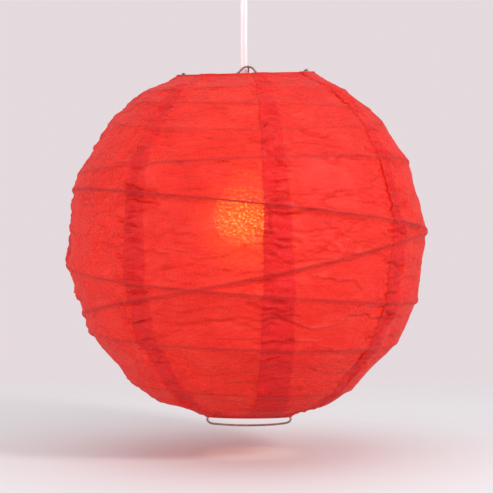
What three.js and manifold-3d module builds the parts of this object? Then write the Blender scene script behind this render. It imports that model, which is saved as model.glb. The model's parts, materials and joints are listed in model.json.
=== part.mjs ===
// A round paper lantern on a pendant cord, with its wire expander, lampholder, bulb and ceiling rose.
// Millimetres, +Z up. The origin is the middle of the ceiling rose's flat top face.
// The lantern's front faces -Y. Azimuths are in degrees from the front towards +X.
import * as THREE from "three";
import { mergeVertices } from "three/addons/utils/BufferGeometryUtils.js";
import Module from "manifold-3d";

const wasm = await Module();
wasm.setup();

// ---- driving dimensions ----
const GAP = 0.4; // between pieces that touch on the real lantern
const ROUND = 24; // sides of a turned piece
const SMALL_ROUND = 12; // sides of a small turned piece

const LANTERN_CENTRE = new THREE.Vector3(2.6, -6, -320);
const PAPER_R = 177.8; // half of the 14 inch size
const PAPER_THICK = 0.8;
const PAPER_BLEND = THREE.MathUtils.degToRad(10); // how far a rim pulls the paper off the sphere
const GORES = 8;
const FIRST_SEAM_DEG = 9;
const GORE_COLUMNS = 4;
const GORE_ROWS = 12;
const SEAM_GAP = 0.4;

const RIB_WIRE_R = 0.8;
const RIB_SPHERE_R = 174; // the ribs lie on this sphere, just inside the paper
const DEEP_RIB_R = 171.8; // the rib that crosses others lies behind them
const RIB_SEGMENTS = 30;
const WIRE_SIDES = 5;
// Each rib's height and how it tilts and warps: sine, cosine, double sine and double cosine of the azimuth.
const RIBS = [
  { height: 145.0, tilt: [1.1, -5.6, 0, 0], sphere: RIB_SPHERE_R },
  { height: 130.5, tilt: [-2.5, -7.8, 0, 0], sphere: RIB_SPHERE_R },
  { height: 116.4, tilt: [0, -17, 0, -1.5], sphere: RIB_SPHERE_R },
  { height: 70.6, tilt: [6.4, 2, 0, 0], sphere: RIB_SPHERE_R },
  { height: 27.7, tilt: [-19.8, 8.2, 1.5, -1.7], sphere: RIB_SPHERE_R },
  { height: -38.0, tilt: [40, 11.8, -3.1, -6.2], sphere: DEEP_RIB_R },
  { height: -35.2, tilt: [-18, -12.4, 2.6, 2.4], sphere: RIB_SPHERE_R },
  { height: -90.8, tilt: [-5.2, -2.7, 0, 0], sphere: RIB_SPHERE_R },
  { height: -137.5, tilt: [-3.5, 0, 0, 0], sphere: RIB_SPHERE_R },
  { height: -152.6, tilt: [-1.8, -1.4, 0, 0], sphere: RIB_SPHERE_R },
];
const RIM_WIRE_R = 1;
const TOP_RIM = { x: -0.5, r: 66, height: 162.3, tilt: [1.7, -7.3, 0, 0] };
const BOTTOM_RIM = { x: 2.2, r: 41.6, height: -168.2, tilt: [0, 3, 0, 0] };
const RIM_TO_PAPER = 2.2; // the paper starts this far outside a rim wire
const RIM_TO_EDGE = 1; // and this far short of it in height

const FRAME_WIRE_R = 1;
const HUMP_TOP = new THREE.Vector3(1.8, 0, 170.2);
const HOOK_WIRE_R = 0.8;

const PLATE_R = 38;
const PLATE_THICK = 3;
const COVER_R = 42;
const COVER_WALL = 2;
const COVER_BOTTOM = -54;
const NECK_R = 9.6;
const THROAT_R = 4.6;
const BUSH_BOTTOM = -62;
const COVER_SCREW_Z = -7.5;
const COVER_SCREW_R = 1.5;
const CEILING_HOLE_R = 2.4;
const CEILING_HOLE_X = 25;
const SUPPLY_HOLE_R = 6; // where the ceiling's own cable comes in
const SUPPLY_HOLE_Y = 17;
const TERMINAL_X = 6;

const CORD_WIDTH = 7;
const CORD_THICK = 3.5;
const CORD_TOP = -52;
const SWING_GAP = 1.4; // lets the swinging cord clear its gripped tail
const CORD_END = -186;
const CAP_TOP = -178;
const CAP_NECK_R = 7.5;
const BARREL_TOP = -204.3;
const BARREL_BOTTOM = -250;
const BARREL_R = 20;
const BARREL_THREAD_R = 18.6;
const SHELL_R = 14.6;
const BULB_BASE_R = 13.2;
const BULB_BASE_BOTTOM = -242;
const BULB_R = 30;
const BULB_CENTRE = -295;

// ---- materials ----
const finish = (color, roughness, metalness) => new THREE.MeshStandardMaterial({ color, roughness, metalness });
const paper = () => finish(0xf03e38, 0.8, 0);
const steelWire = () => finish(0x8d8580, 0.4, 0.9);
const whitePlastic = () => finish(0xf2f0ec, 0.4, 0);
const brass = () => finish(0xc9a252, 0.35, 1);
const screwSteel = () => finish(0xb4b4b8, 0.3, 1);
const clearGlass = () => finish(0xfff2dd, 0.1, 0);

// ---- helpers ----
const lantern = new THREE.Group();

function add(name, geometry, material, parent = lantern) {
  const mesh = new THREE.Mesh(geometry, material);
  mesh.name = name;
  parent.add(mesh);
  return mesh;
}

// A turned piece from [radius, height] pairs; a profile that isn't on the axis is closed on itself.
function turned(profile, sides = ROUND) {
  const points = profile.map(([radius, height]) => new THREE.Vector2(radius, height));
  if (points[0].x > 0) points.push(points[0].clone());
  const geometry = new THREE.LatheGeometry(points, sides);
  geometry.rotateX(Math.PI / 2);
  return facingOut(geometry);
}

// Shared vertices only, no empty triangles, and faces that point out.
function facingOut(source) {
  const bare = source.clone();
  bare.deleteAttribute("normal");
  bare.deleteAttribute("uv");
  const merged = mergeVertices(bare, 1e-4);
  const index = [...merged.index.array];
  const p = merged.attributes.position;
  const kept = [];
  let volume = 0;
  const [a, b, c] = [new THREE.Vector3(), new THREE.Vector3(), new THREE.Vector3()];
  for (let i = 0; i < index.length; i += 3) {
    const [i0, i1, i2] = index.slice(i, i + 3);
    if (i0 === i1 || i1 === i2 || i2 === i0) continue;
    kept.push(i0, i1, i2);
    a.fromBufferAttribute(p, i0);
    b.fromBufferAttribute(p, i1);
    c.fromBufferAttribute(p, i2);
    volume += a.dot(b.cross(c));
  }
  if (volume < 0) kept.reverse();
  const geometry = new THREE.BufferGeometry();
  geometry.setAttribute("position", p.clone());
  geometry.setIndex(kept);
  return geometry;
}

function toSolid(geometry) {
  const closed = facingOut(geometry);
  return new wasm.Manifold(
    new wasm.Mesh({
      numProp: 3,
      vertProperties: new Float32Array(closed.attributes.position.array),
      triVerts: new Uint32Array(closed.index.array),
    }),
  );
}

function fromSolid(solid) {
  const mesh = solid.getMesh();
  const geometry = new THREE.BufferGeometry();
  geometry.setAttribute("position", new THREE.BufferAttribute(new Float32Array(mesh.vertProperties), 3));
  geometry.setIndex(new THREE.BufferAttribute(new Uint32Array(mesh.triVerts), 1));
  return geometry;
}

function cut(geometry, ...tools) {
  return fromSolid(tools.reduce((solid, tool) => solid.subtract(toSolid(tool)), toSolid(geometry)));
}

function joined(geometry, ...others) {
  return fromSolid(others.reduce((solid, other) => solid.add(toSolid(other)), toSolid(geometry)));
}

function upright(radius, low, high, x = 0, y = 0, sides = SMALL_ROUND) {
  const geometry = new THREE.CylinderGeometry(radius, radius, high - low, sides);
  geometry.rotateX(Math.PI / 2);
  return geometry.translate(x, y, (low + high) / 2);
}

function box(size, centre) {
  return new THREE.BoxGeometry(...size).translate(...centre);
}

function circleSection(radius, sides) {
  const points = [];
  for (let i = 0; i < sides; i += 1) {
    const angle = (2 * Math.PI * i) / sides;
    points.push(new THREE.Vector2(radius * Math.cos(angle), radius * Math.sin(angle)));
  }
  return new THREE.Shape(points);
}

// Round wire along smooth points given as [x, y, z].
function wire(points, radius, steps, sides = WIRE_SIDES) {
  const path = new THREE.CatmullRomCurve3(
    points.map((point) => new THREE.Vector3(...point)),
    false,
    "centripetal",
  );
  const options = { steps, bevelEnabled: false, extrudePath: path };
  return facingOut(new THREE.ExtrudeGeometry(circleSection(radius, sides), options));
}

function warp([s1, c1, s2, c2], azimuth) {
  const first = s1 * Math.sin(azimuth) + c1 * Math.cos(azimuth);
  return first + s2 * Math.sin(2 * azimuth) + c2 * Math.cos(2 * azimuth);
}

// A closed wire hoop round the Z axis: centreAt(azimuth) gives its centreline.
function hoop(centreAt, wireRadius, segments) {
  const geometry = new THREE.TorusGeometry(10, 1, WIRE_SIDES, segments);
  const p = geometry.attributes.position;
  for (let i = 0; i < p.count; i += 1) {
    const azimuth = Math.atan2(p.getX(i), -p.getY(i));
    const outwards = Math.hypot(p.getX(i), p.getY(i)) - 10;
    const centre = centreAt(azimuth);
    const out = wireRadius * outwards;
    const x = centre.x + out * Math.sin(azimuth);
    const y = centre.y - out * Math.cos(azimuth);
    p.setXYZ(i, x, y, centre.z + wireRadius * p.getZ(i));
  }
  return facingOut(geometry);
}

function rimPoint(rim, azimuth, outwards = 0, upwards = 0) {
  const reach = rim.r + outwards;
  const height = rim.height + upwards + warp(rim.tilt, azimuth);
  return new THREE.Vector3(rim.x + reach * Math.sin(azimuth), -reach * Math.cos(azimuth), height);
}

function ribPoint(rib, azimuth) {
  const height = rib.height + warp(rib.tilt, azimuth);
  const reach = Math.sqrt(rib.sphere ** 2 - height ** 2);
  return new THREE.Vector3(reach * Math.sin(azimuth), -reach * Math.cos(azimuth), height);
}

// ---- ceiling rose ----
const rosePlate = cut(
  turned([
    [0, -PLATE_THICK],
    [PLATE_R - 2.5, -PLATE_THICK],
    [PLATE_R - 2.5, -12],
    [PLATE_R, -12],
    [PLATE_R, 0],
    [0, 0],
  ]),
  upright(CEILING_HOLE_R, -5, 2, CEILING_HOLE_X),
  upright(CEILING_HOLE_R, -5, 2, -CEILING_HOLE_X),
  upright(SUPPLY_HOLE_R, -5, 2, 0, SUPPLY_HOLE_Y),
  upright(COVER_SCREW_R + GAP, -50, 50).rotateY(Math.PI / 2).translate(0, 0, COVER_SCREW_Z),
);
add("rose_base_plate", rosePlate, whitePlastic());

const coverShell = turned([
  [COVER_R, -0.5],
  [COVER_R, -26],
  [38, -38],
  [26, -48],
  [12, COVER_BOTTOM],
  [NECK_R, COVER_BOTTOM],
  [NECK_R, -52],
  [24.8, -46],
  [36.4, -36.6],
  [COVER_R - COVER_WALL, -25.4],
  [COVER_R - COVER_WALL, -0.5],
]);
const coverHoles = upright(COVER_SCREW_R + GAP, -50, 50).rotateY(Math.PI / 2).translate(0, 0, COVER_SCREW_Z);
add("rose_cover", cut(coverShell, coverHoles), whitePlastic());

for (const [side, turn] of [["right", Math.PI / 2], ["left", -Math.PI / 2]]) {
  const screw = turned(
    [
      [0, 34.2],
      [COVER_SCREW_R, 34.2],
      [COVER_SCREW_R, COVER_R + GAP],
      [3, COVER_R + GAP],
      [2.6, COVER_R + 1.8],
      [0, COVER_R + 2],
    ],
    SMALL_ROUND,
  );
  const slotted = cut(screw, box([4, 0.8, 1.4], [0, 0, COVER_R + 2]));
  add(`rose_cover_screw_${side}`, slotted.rotateY(turn).translate(0, 0, COVER_SCREW_Z), screwSteel());
}

const BLOCK_TOP = -PLATE_THICK - GAP;
const BLOCK_BOTTOM = -14.5;
const blockHoles = [];
for (const x of [-TERMINAL_X, TERMINAL_X]) {
  blockHoles.push(upright(1.9, BLOCK_BOTTOM - 1, -8, x, 3));
  blockHoles.push(upright(1.8, BLOCK_BOTTOM - 1, -7, x, -3));
}
const block = box([26, 13, BLOCK_TOP - BLOCK_BOTTOM], [0, 0, (BLOCK_TOP + BLOCK_BOTTOM) / 2]);
add("rose_terminal_block", cut(block, ...blockHoles), whitePlastic());
["live", "neutral"].forEach((lead, i) => {
  const x = i === 0 ? -TERMINAL_X : TERMINAL_X;
  add(`rose_terminal_screw_${lead}`, upright(1.5, BLOCK_BOTTOM + 1, -9, x, 3), screwSteel());
  const core = wire(
    [
      [Math.sign(x) * 1.6, 0, -33.6],
      [Math.sign(x) * 2.6, -0.6, -28],
      [x, -2.6, -20],
      [x, -3, -15],
      [x, -3, -9],
    ],
    1.3,
    10,
  );
  add(`core_${lead}`, core, finish(i === 0 ? 0x6b4226 : 0x3a66b0, 0.5, 0));
});

const bush = turned([
  [THROAT_R, -45.5],
  [THROAT_R, -57],
  [5.4, -60.4],
  [7.4, BUSH_BOTTOM],
  [10, BUSH_BOTTOM],
  [12.4, -59.5],
  [12.4, COVER_BOTTOM - GAP],
  [NECK_R - GAP, COVER_BOTTOM - GAP],
  [NECK_R - GAP, -45.5],
]);
add("rose_outlet_bush", bush, whitePlastic());
const nutRing = new THREE.CylinderGeometry(12, 12, 4, 6).rotateX(Math.PI / 2).translate(0, 0, -48.4);
add("rose_bush_nut", cut(nutRing, upright(NECK_R, -60, -40, 0, 0, ROUND)), whitePlastic());

// Two round cores side by side: each lobe's arc is LOBE_ARC long and the groove is WAIST of a lobe deep.
const LOBE_ARC = 1.2 * Math.PI;
const WAIST = 0.72;
function cordSection(width, thick) {
  const lobe = thick / 2;
  const side = width / 2 - lobe;
  const shape = new THREE.Shape();
  const corners = 4;
  for (const sign of [1, -1]) {
    for (let i = 0; i <= corners; i += 1) {
      const angle = (i / corners - 0.5) * LOBE_ARC + (sign < 0 ? Math.PI : 0);
      const x = sign * side + lobe * Math.cos(angle);
      const y = lobe * Math.sin(angle);
      if (sign > 0 && i === 0) shape.moveTo(x, y);
      else shape.lineTo(x, y);
    }
    shape.lineTo(0, sign * WAIST * lobe);
  }
  shape.closePath();
  return shape;
}

// The cord's flat side faces the front, so its section is laid out in X and Y.
function straightCord(width, thick, low, high) {
  const options = { depth: high - low, steps: 9, bevelEnabled: false };
  return facingOut(new THREE.ExtrudeGeometry(cordSection(width, thick), options).translate(0, 0, low));
}

const gripBody = upright(8.4, -45.1, -38, 0, 0, ROUND);
add("rose_cord_grip", cut(gripBody, box([CORD_WIDTH + 0.8, CORD_THICK + 0.8, 20], [0, 0, -42])), whitePlastic());
add("cord_tail", straightCord(CORD_WIDTH, CORD_THICK, CORD_TOP + SWING_GAP, -34), whitePlastic());

// ---- pendant: cord and lampholder ----
add("pendant_cord", straightCord(CORD_WIDTH, CORD_THICK, CORD_END, CORD_TOP), whitePlastic());

const cordBush = cut(
  turned(
    [
      [0, -175.5],
      [6, -175.5],
      [7, -176.4],
      [7, CAP_TOP + GAP],
      [5.2, CAP_TOP + GAP],
      [5.2, -189],
      [0, -189],
    ],
    24,
  ),
  box([CORD_WIDTH + 0.8, CORD_THICK + 0.8, 30], [0, 0, -182]),
);
add("lampholder_cord_bush", cordBush, whitePlastic());
add(
  "lampholder_cap",
  turned([
    [CAP_NECK_R, CAP_TOP],
    [CAP_NECK_R, -185],
    [10, -187],
    [17, -190.5],
    [20.6, -196],
    [20.6, -204],
    [18.4, -204],
    [18.4, -196.8],
    [15.6, -192.6],
    [5.6, -188.4],
    [5.6, CAP_TOP],
  ]),
  whitePlastic(),
);
add(
  "lampholder_barrel",
  turned([
    [BARREL_R, BARREL_TOP],
    [BARREL_R, -226],
    [BARREL_THREAD_R, -227.5],
    [BARREL_THREAD_R, BARREL_BOTTOM],
    [BARREL_THREAD_R - 2, BARREL_BOTTOM],
    [BARREL_THREAD_R - 2, BARREL_TOP],
  ]),
  whitePlastic(),
);
const ringBody = turned([
  [19.1, -229],
  [23, -229],
  [24.2, -230.4],
  [24.2, -235],
  [19.1, -235],
]);
const ringNotches = [];
const RING_NOTCHES = 8;
for (let i = 0; i < RING_NOTCHES; i += 1) {
  const angle = (2 * Math.PI * i) / RING_NOTCHES;
  ringNotches.push(upright(1, -240, -220, 24.6 * Math.cos(angle), 24.6 * Math.sin(angle), 6));
}
add("shade_ring", cut(ringBody, ...ringNotches), whitePlastic());
add(
  "lampholder_insulator",
  cut(
    upright(16.2, -212, -206, 0, 0, ROUND),
    upright(1.9, -214, -204, 10, 0),
    upright(1.9, -214, -204, -10, 0),
  ),
  finish(0xd8cfc0, 0.6, 0),
);
for (const [side, x] of [["live", -10], ["neutral", 10]]) {
  const screw = turned(
    [
      [0, -204.4],
      [2.6, -204.8],
      [2.6, -205.6],
      [1.5, -205.6],
      [1.5, -211],
      [0, -211],
    ],
    SMALL_ROUND,
  );
  add(`lampholder_screw_${side}`, screw.translate(x, 0, 0), brass());
}
add(
  "screw_shell",
  turned([
    [8, -212.5],
    [SHELL_R, -212.5],
    [SHELL_R, -240],
    [SHELL_R - 0.7, -240],
    [SHELL_R - 0.7, -213.2],
    [8, -213.2],
  ]),
  brass(),
);
add("centre_contact", box([12, 4, 2.2], [0, 0, -213.8]), brass());

// ---- bulb ----
const bulb = new THREE.Group();
lantern.add(bulb);
add(
  "bulb_foot_contact",
  turned([[0, -215.4], [3, -215.6], [4, -216.4], [4, -221], [0, -221]], SMALL_ROUND),
  screwSteel(),
  bulb,
);
add(
  "bulb_insulator",
  turned([[4.4, -216.4], [7, -216.4], [12, -220], [12, -221.5], [4.4, -221.5]]),
  finish(0x1c1a1a, 0.4, 0),
  bulb,
);
add(
  "bulb_base",
  turned([
    [BULB_BASE_R, -221],
    [BULB_BASE_R, BULB_BASE_BOTTOM],
    [BULB_BASE_R - 0.8, BULB_BASE_BOTTOM],
    [BULB_BASE_R - 0.8, -221],
  ]),
  screwSteel(),
  bulb,
);

// The glass: a round globe that narrows into the neck, a millimetre thick.
function glassProfile(wall) {
  const points = [];
  const lowest = -90;
  const highest = 42;
  const steps = 7;
  for (let i = 0; i <= steps; i += 1) {
    const angle = THREE.MathUtils.degToRad(lowest + ((highest - lowest) * i) / steps);
    const reach = BULB_R - wall;
    points.push([i === 0 ? 0 : reach * Math.cos(angle), BULB_CENTRE + reach * Math.sin(angle)]);
  }
  points.push([17.2 - wall, -262]);
  points.push([13.6 - wall, -250]);
  points.push([12.0 - wall, -243]);
  points.push([12.0 - wall, -232]);
  return points;
}
add("bulb_glass", turned([...glassProfile(0), ...glassProfile(1).reverse()]), clearGlass(), bulb);
add(
  "bulb_stem",
  turned([[0, -232], [9, -232.4], [9, -234], [4, -240], [2.6, -262], [0, -263]], SMALL_ROUND),
  clearGlass(),
  bulb,
);
const filament = wire(
  [
    [-2.2, 0, -264],
    [-8, 0, -276],
    [-15, 0, -290],
    [-9, 4, -298],
    [0, 6, -300],
    [9, 4, -298],
    [15, 0, -290],
    [8, 0, -276],
    [2.2, 0, -264],
  ],
  0.5,
  32,
);
add("bulb_filament", filament, finish(0xffc070, 0.5, 0.5), bulb);

// ---- hanger hook: a collar round the cap's neck, and a hook under the expander's hump ----
const humpAt = LANTERN_CENTRE.clone().add(HUMP_TOP);
const COLLAR_R = 9;
const COLLAR_Z = -182.6;
const collar = hoop((azimuth) => {
  return new THREE.Vector3(COLLAR_R * Math.sin(azimuth), -COLLAR_R * Math.cos(azimuth), COLLAR_Z);
}, HOOK_WIRE_R, 24);
const hookX = humpAt.x;
const hookBottom = humpAt.z - FRAME_WIRE_R - HOOK_WIRE_R - GAP;
const riser = wire(
  [
    [hookX, -Math.sqrt(COLLAR_R ** 2 - hookX ** 2), COLLAR_Z],
    [hookX, -8.9, -177],
    [hookX, -7.2, -170],
    [hookX, -4.4, -163],
    [hookX, -3.4, -157],
    [hookX, -3.5, hookBottom + 0.6 - 3],
    [hookX, humpAt.y + 1.4, hookBottom - 0.4],
    [hookX, humpAt.y, hookBottom - 0.1],
    [hookX, humpAt.y - 1.8, hookBottom + 0.5],
    [hookX, humpAt.y - 2.8, hookBottom + 2.4],
  ],
  HOOK_WIRE_R,
  30,
);
add("hanger_hook", joined(collar, riser), steelWire());

// ---- shade ----
const shade = new THREE.Group();
shade.position.copy(LANTERN_CENTRE);
lantern.add(shade);

// The expander: one wire down the right leg, through the bottom bow and up the left leg.
const frameRoute = [
  [66, 0, 161],
  [62.8, 0, 161.4],
  [61.2, 0, 163.6],
  [58.4, 0, 167.3],
  [55.2, 0, 164.6],
  [54.2, 0, 158.4],
  [50.5, 0, 144.4],
  [44, 0, 122.4],
  [39.6, 0, 104.4],
  [38.7, 0, 86.4],
  [38.7, 0, 0],
  [38.7, 0, -137],
  [39.2, 0, -155],
  [41.4, 0, -163.5],
  [40.6, 0, -167.9],
  [43, 0, -171.6],
  [41.4, 0, -174.6],
  [31, 0, -176.8],
  [1, 0, -178.1],
  [-26, 0, -177],
  [-35.4, 0, -175.6],
  [-38.2, 0, -172.4],
  [-36.2, 0, -168.2],
  [-36.8, 0, -163.5],
  [-34.8, 0, -155],
  [-34.3, 0, -137],
  [-34.3, 0, 0],
  [-34.3, 0, 86.4],
  [-36.8, 0, 104.4],
  [-44.5, 0, 122.4],
  [-53, 0, 142.4],
  [-57, 0, 154.4],
  [-58.4, 0, 160.2],
  [-61.4, 0, 163.4],
  [-63.6, 0, 159.2],
  [-65, 0, 157.4],
  [-67.6, 0, 156.9],
];
add("expander_frame", wire(frameRoute, FRAME_WIRE_R, 84), steelWire(), shade);

// The bridge: a crosspiece whose ends curl round the legs, with the hump that hangs on the hook.
const CURL_R = 2.7;
const CURL_DEG = [130, 90, 45, 0, -45, -90, -120];
// A curl round a leg at legX, open on the side away from the hump.
function curl(legX, height, side) {
  return CURL_DEG.map((degrees) => {
    const angle = THREE.MathUtils.degToRad(degrees);
    return [legX + side * CURL_R * Math.cos(angle), CURL_R * Math.sin(angle), height];
  });
}
const bridgeRoute = [
  ...curl(-56.7, 153.4, -1).reverse(),
  [-51, 1.2, 154.8],
  [-44, 0, 157.8],
  [-30, 0, 160],
  [-12.4, 0, 162],
  [-7.4, 0, 164.8],
  [-3.2, 0, 169],
  HUMP_TOP.toArray(),
  [6, 0, 168.7],
  [9.4, 0, 164.7],
  [14, 0, 162.2],
  [30, 0, 161],
  [44, 0, 159],
  [48, 1, 157.8],
  ...curl(53.7, 156.4, 1),
];
add("hanger_bridge", wire(bridgeRoute, FRAME_WIRE_R, 64), steelWire(), shade);

add("top_ring", hoop((azimuth) => rimPoint(TOP_RIM, azimuth), RIM_WIRE_R, RIB_SEGMENTS), steelWire(), shade);
add("bottom_ring", hoop((azimuth) => rimPoint(BOTTOM_RIM, azimuth), RIM_WIRE_R, RIB_SEGMENTS), steelWire(), shade);
RIBS.forEach((rib, i) => {
  const ring = hoop((azimuth) => ribPoint(rib, azimuth), RIB_WIRE_R, RIB_SEGMENTS);
  add(`rib_${String(i + 1).padStart(2, "0")}`, ring, steelWire(), shade);
});

function polarAngle(point) {
  return Math.atan2(Math.hypot(point.x, point.y), point.z);
}

function onSphere(azimuth, polar) {
  const reach = PAPER_R * Math.sin(polar);
  return new THREE.Vector3(reach * Math.sin(azimuth), -reach * Math.cos(azimuth), PAPER_R * Math.cos(polar));
}

// A point on the paper's outside: a share of 0 is the top edge and 1 the bottom edge.
function paperPoint(azimuth, share) {
  const top = rimPoint(TOP_RIM, azimuth, RIM_TO_PAPER, -RIM_TO_EDGE);
  const bottom = rimPoint(BOTTOM_RIM, azimuth, RIM_TO_PAPER, RIM_TO_EDGE);
  const first = polarAngle(top);
  const last = polarAngle(bottom);
  const polar = THREE.MathUtils.lerp(first, last, share);
  const topPull = Math.max(0, 1 - (polar - first) / PAPER_BLEND);
  const bottomPull = Math.max(0, 1 - (last - polar) / PAPER_BLEND);
  const point = onSphere(azimuth, polar);
  point.addScaledVector(top.sub(onSphere(azimuth, first)), topPull);
  point.addScaledVector(bottom.sub(onSphere(azimuth, last)), bottomPull);
  return point;
}

// A box's two skins are bent onto the paper's outside and inside.
function gore(middle) {
  const geometry = new THREE.BoxGeometry(1, 1, 1, GORE_COLUMNS, GORE_ROWS, 1);
  const p = geometry.attributes.position;
  const halfWidth = Math.PI / GORES;
  for (let i = 0; i < p.count; i += 1) {
    const share = 0.5 - p.getY(i);
    const reach = Math.hypot(paperPoint(middle, share).x, paperPoint(middle, share).y);
    const azimuth = middle + 2 * p.getX(i) * (halfWidth - SEAM_GAP / 2 / reach);
    const point = paperPoint(azimuth, share);
    if (p.getZ(i) < 0) point.multiplyScalar(1 - PAPER_THICK / PAPER_R);
    p.setXYZ(i, point.x, point.y, point.z);
  }
  return facingOut(geometry);
}

for (let i = 0; i < GORES; i += 1) {
  const middle = THREE.MathUtils.degToRad(FIRST_SEAM_DEG + (i + 0.5) * (360 / GORES));
  add(`gore_${i + 1}`, gore(middle), paper(), shade);
}

export default lantern;
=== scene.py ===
"""A lit red paper lantern on its pendant cord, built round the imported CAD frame.

Metres, +Z up; the lantern's front faces -Y. Azimuths run from the front towards +X.
"""

import json
import math

import bpy
import numpy as np
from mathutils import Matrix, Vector
from mathutils.bvhtree import BVHTree
from mathutils.geometry import delaunay_2d_cdt


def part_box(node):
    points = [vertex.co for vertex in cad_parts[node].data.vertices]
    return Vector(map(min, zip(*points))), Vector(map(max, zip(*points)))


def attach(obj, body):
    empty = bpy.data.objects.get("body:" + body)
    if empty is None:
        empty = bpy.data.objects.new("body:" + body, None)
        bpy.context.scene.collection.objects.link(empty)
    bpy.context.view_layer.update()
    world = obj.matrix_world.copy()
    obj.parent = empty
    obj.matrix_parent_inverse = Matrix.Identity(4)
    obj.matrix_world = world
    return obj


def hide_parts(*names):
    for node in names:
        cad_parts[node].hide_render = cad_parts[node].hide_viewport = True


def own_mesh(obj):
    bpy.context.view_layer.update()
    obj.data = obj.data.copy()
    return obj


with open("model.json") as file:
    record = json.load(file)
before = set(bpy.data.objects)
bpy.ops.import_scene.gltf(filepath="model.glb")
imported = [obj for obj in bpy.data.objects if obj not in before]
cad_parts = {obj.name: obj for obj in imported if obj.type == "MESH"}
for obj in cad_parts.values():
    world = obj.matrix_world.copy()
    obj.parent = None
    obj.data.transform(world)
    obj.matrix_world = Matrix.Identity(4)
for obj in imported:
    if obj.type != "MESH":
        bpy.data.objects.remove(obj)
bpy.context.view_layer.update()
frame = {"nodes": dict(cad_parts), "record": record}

MM = 0.001
CENTRE = Vector((2.6, -6, -320)) * MM  # the middle of the round shade
RIB_NODES = [f"rib_{i:02d}" for i in range(1, 11)]
RIB_WIRE_R = 0.8 * MM
RIM_WIRE_R = 1.0 * MM
FRAME_WIRE_R = 1.0 * MM

# ---- camera ----
CAMERA_DISTANCE = 1.42
PAPER_R = 175.1 * MM  # where the paper lies over the ribs
SHADE_R_IN_FRAMES = 0.36856  # the shade's radius as a share of the frame's width
SENSOR_MM = 36
LIFT_IN_FRAMES = 0.00913  # the shade's middle is this far above the frame's middle


def make_camera():
    data = bpy.data.cameras.new("camera")
    tangent = PAPER_R / math.sqrt(CAMERA_DISTANCE**2 - PAPER_R**2)
    data.sensor_width = SENSOR_MM
    data.lens = SHADE_R_IN_FRAMES * SENSOR_MM / tangent
    data.clip_start = 0.01
    data.clip_end = 50
    camera = bpy.data.objects.new("camera", data)
    bpy.context.collection.objects.link(camera)
    camera.location = CENTRE + Vector((0, -CAMERA_DISTANCE, 0))
    pitch = math.atan(LIFT_IN_FRAMES * SENSOR_MM / data.lens)
    camera.rotation_euler = (math.pi / 2 - pitch, 0, 0)
    bpy.context.scene.camera = camera


make_camera()


# ---- mesh helpers ----
def new_mesh(name, points, faces, slot, uvs=None):
    """A smooth piece with its slot's material, from points, faces and each point's flat coordinates."""
    mesh = bpy.data.meshes.new(name)
    mesh.from_pydata([tuple(p) for p in points], [], [tuple(f) for f in faces])
    mesh.update()
    if uvs is not None:
        layer = mesh.uv_layers.new(name="flat")
        loops = np.zeros(len(mesh.loops), int)
        mesh.loops.foreach_get("vertex_index", loops)
        layer.data.foreach_set("uv", np.asarray(uvs, float)[loops].ravel())
    mesh.polygons.foreach_set("use_smooth", [True] * len(mesh.polygons))
    mesh.materials.append(MATERIALS[slot])
    piece = bpy.data.objects.new(name, mesh)
    bpy.context.collection.objects.link(piece)
    return piece


def grid_faces(rows, columns, closed=False, looped=False):
    """Quads between rows of points; closed joins each row's ends, looped joins the last row to the first."""
    faces = []
    for j in range(rows if looped else rows - 1):
        here = j * columns
        there = (j + 1) % rows * columns
        for i in range(columns if closed else columns - 1):
            k = (i + 1) % columns
            faces.append((here + i, here + k, there + k, there + i))
    return faces


def fit(piece, body, slot, *nodes):
    """Make a piece ride on its body and stand for its CAD nodes, which are hidden; slot is not used."""
    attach(piece, body)
    if nodes:
        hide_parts(*nodes)


def fold_with_shade(piece):
    """Give a piece its own copy of its mesh."""
    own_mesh(piece)


def between(a, b, ta, tb, t):
    return ((tb - t) * a + (t - ta) * b) / (tb - ta)


def smooth_line(points, step):
    """Points about step apart on a centripetal Catmull-Rom curve through the given ones."""
    p = [np.array(q, float) for q in points]
    p = [2 * p[0] - p[1]] + p + [2 * p[-1] - p[-2]]
    out = []
    for a, b, c, d in zip(p, p[1:], p[2:], p[3:]):
        t1 = np.linalg.norm(b - a) ** 0.5
        t2 = t1 + np.linalg.norm(c - b) ** 0.5
        t3 = t2 + np.linalg.norm(d - c) ** 0.5
        count = max(1, math.ceil(np.linalg.norm(c - b) / step))
        for t in np.linspace(t1, t2, count, endpoint=False):
            bc = between(b, c, t1, t2, t)
            abc = between(between(a, b, 0, t1, t), bc, 0, t2, t)
            bcd = between(bc, between(c, d, t2, t3, t), t1, t3, t)
            out.append(between(abc, bcd, t1, t2, t))
    out.append(p[-2])
    return np.array(out)


ROUND_END = 0.7  # a wire's round end narrows to this share of its radius, this share of the way to its tip


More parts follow.
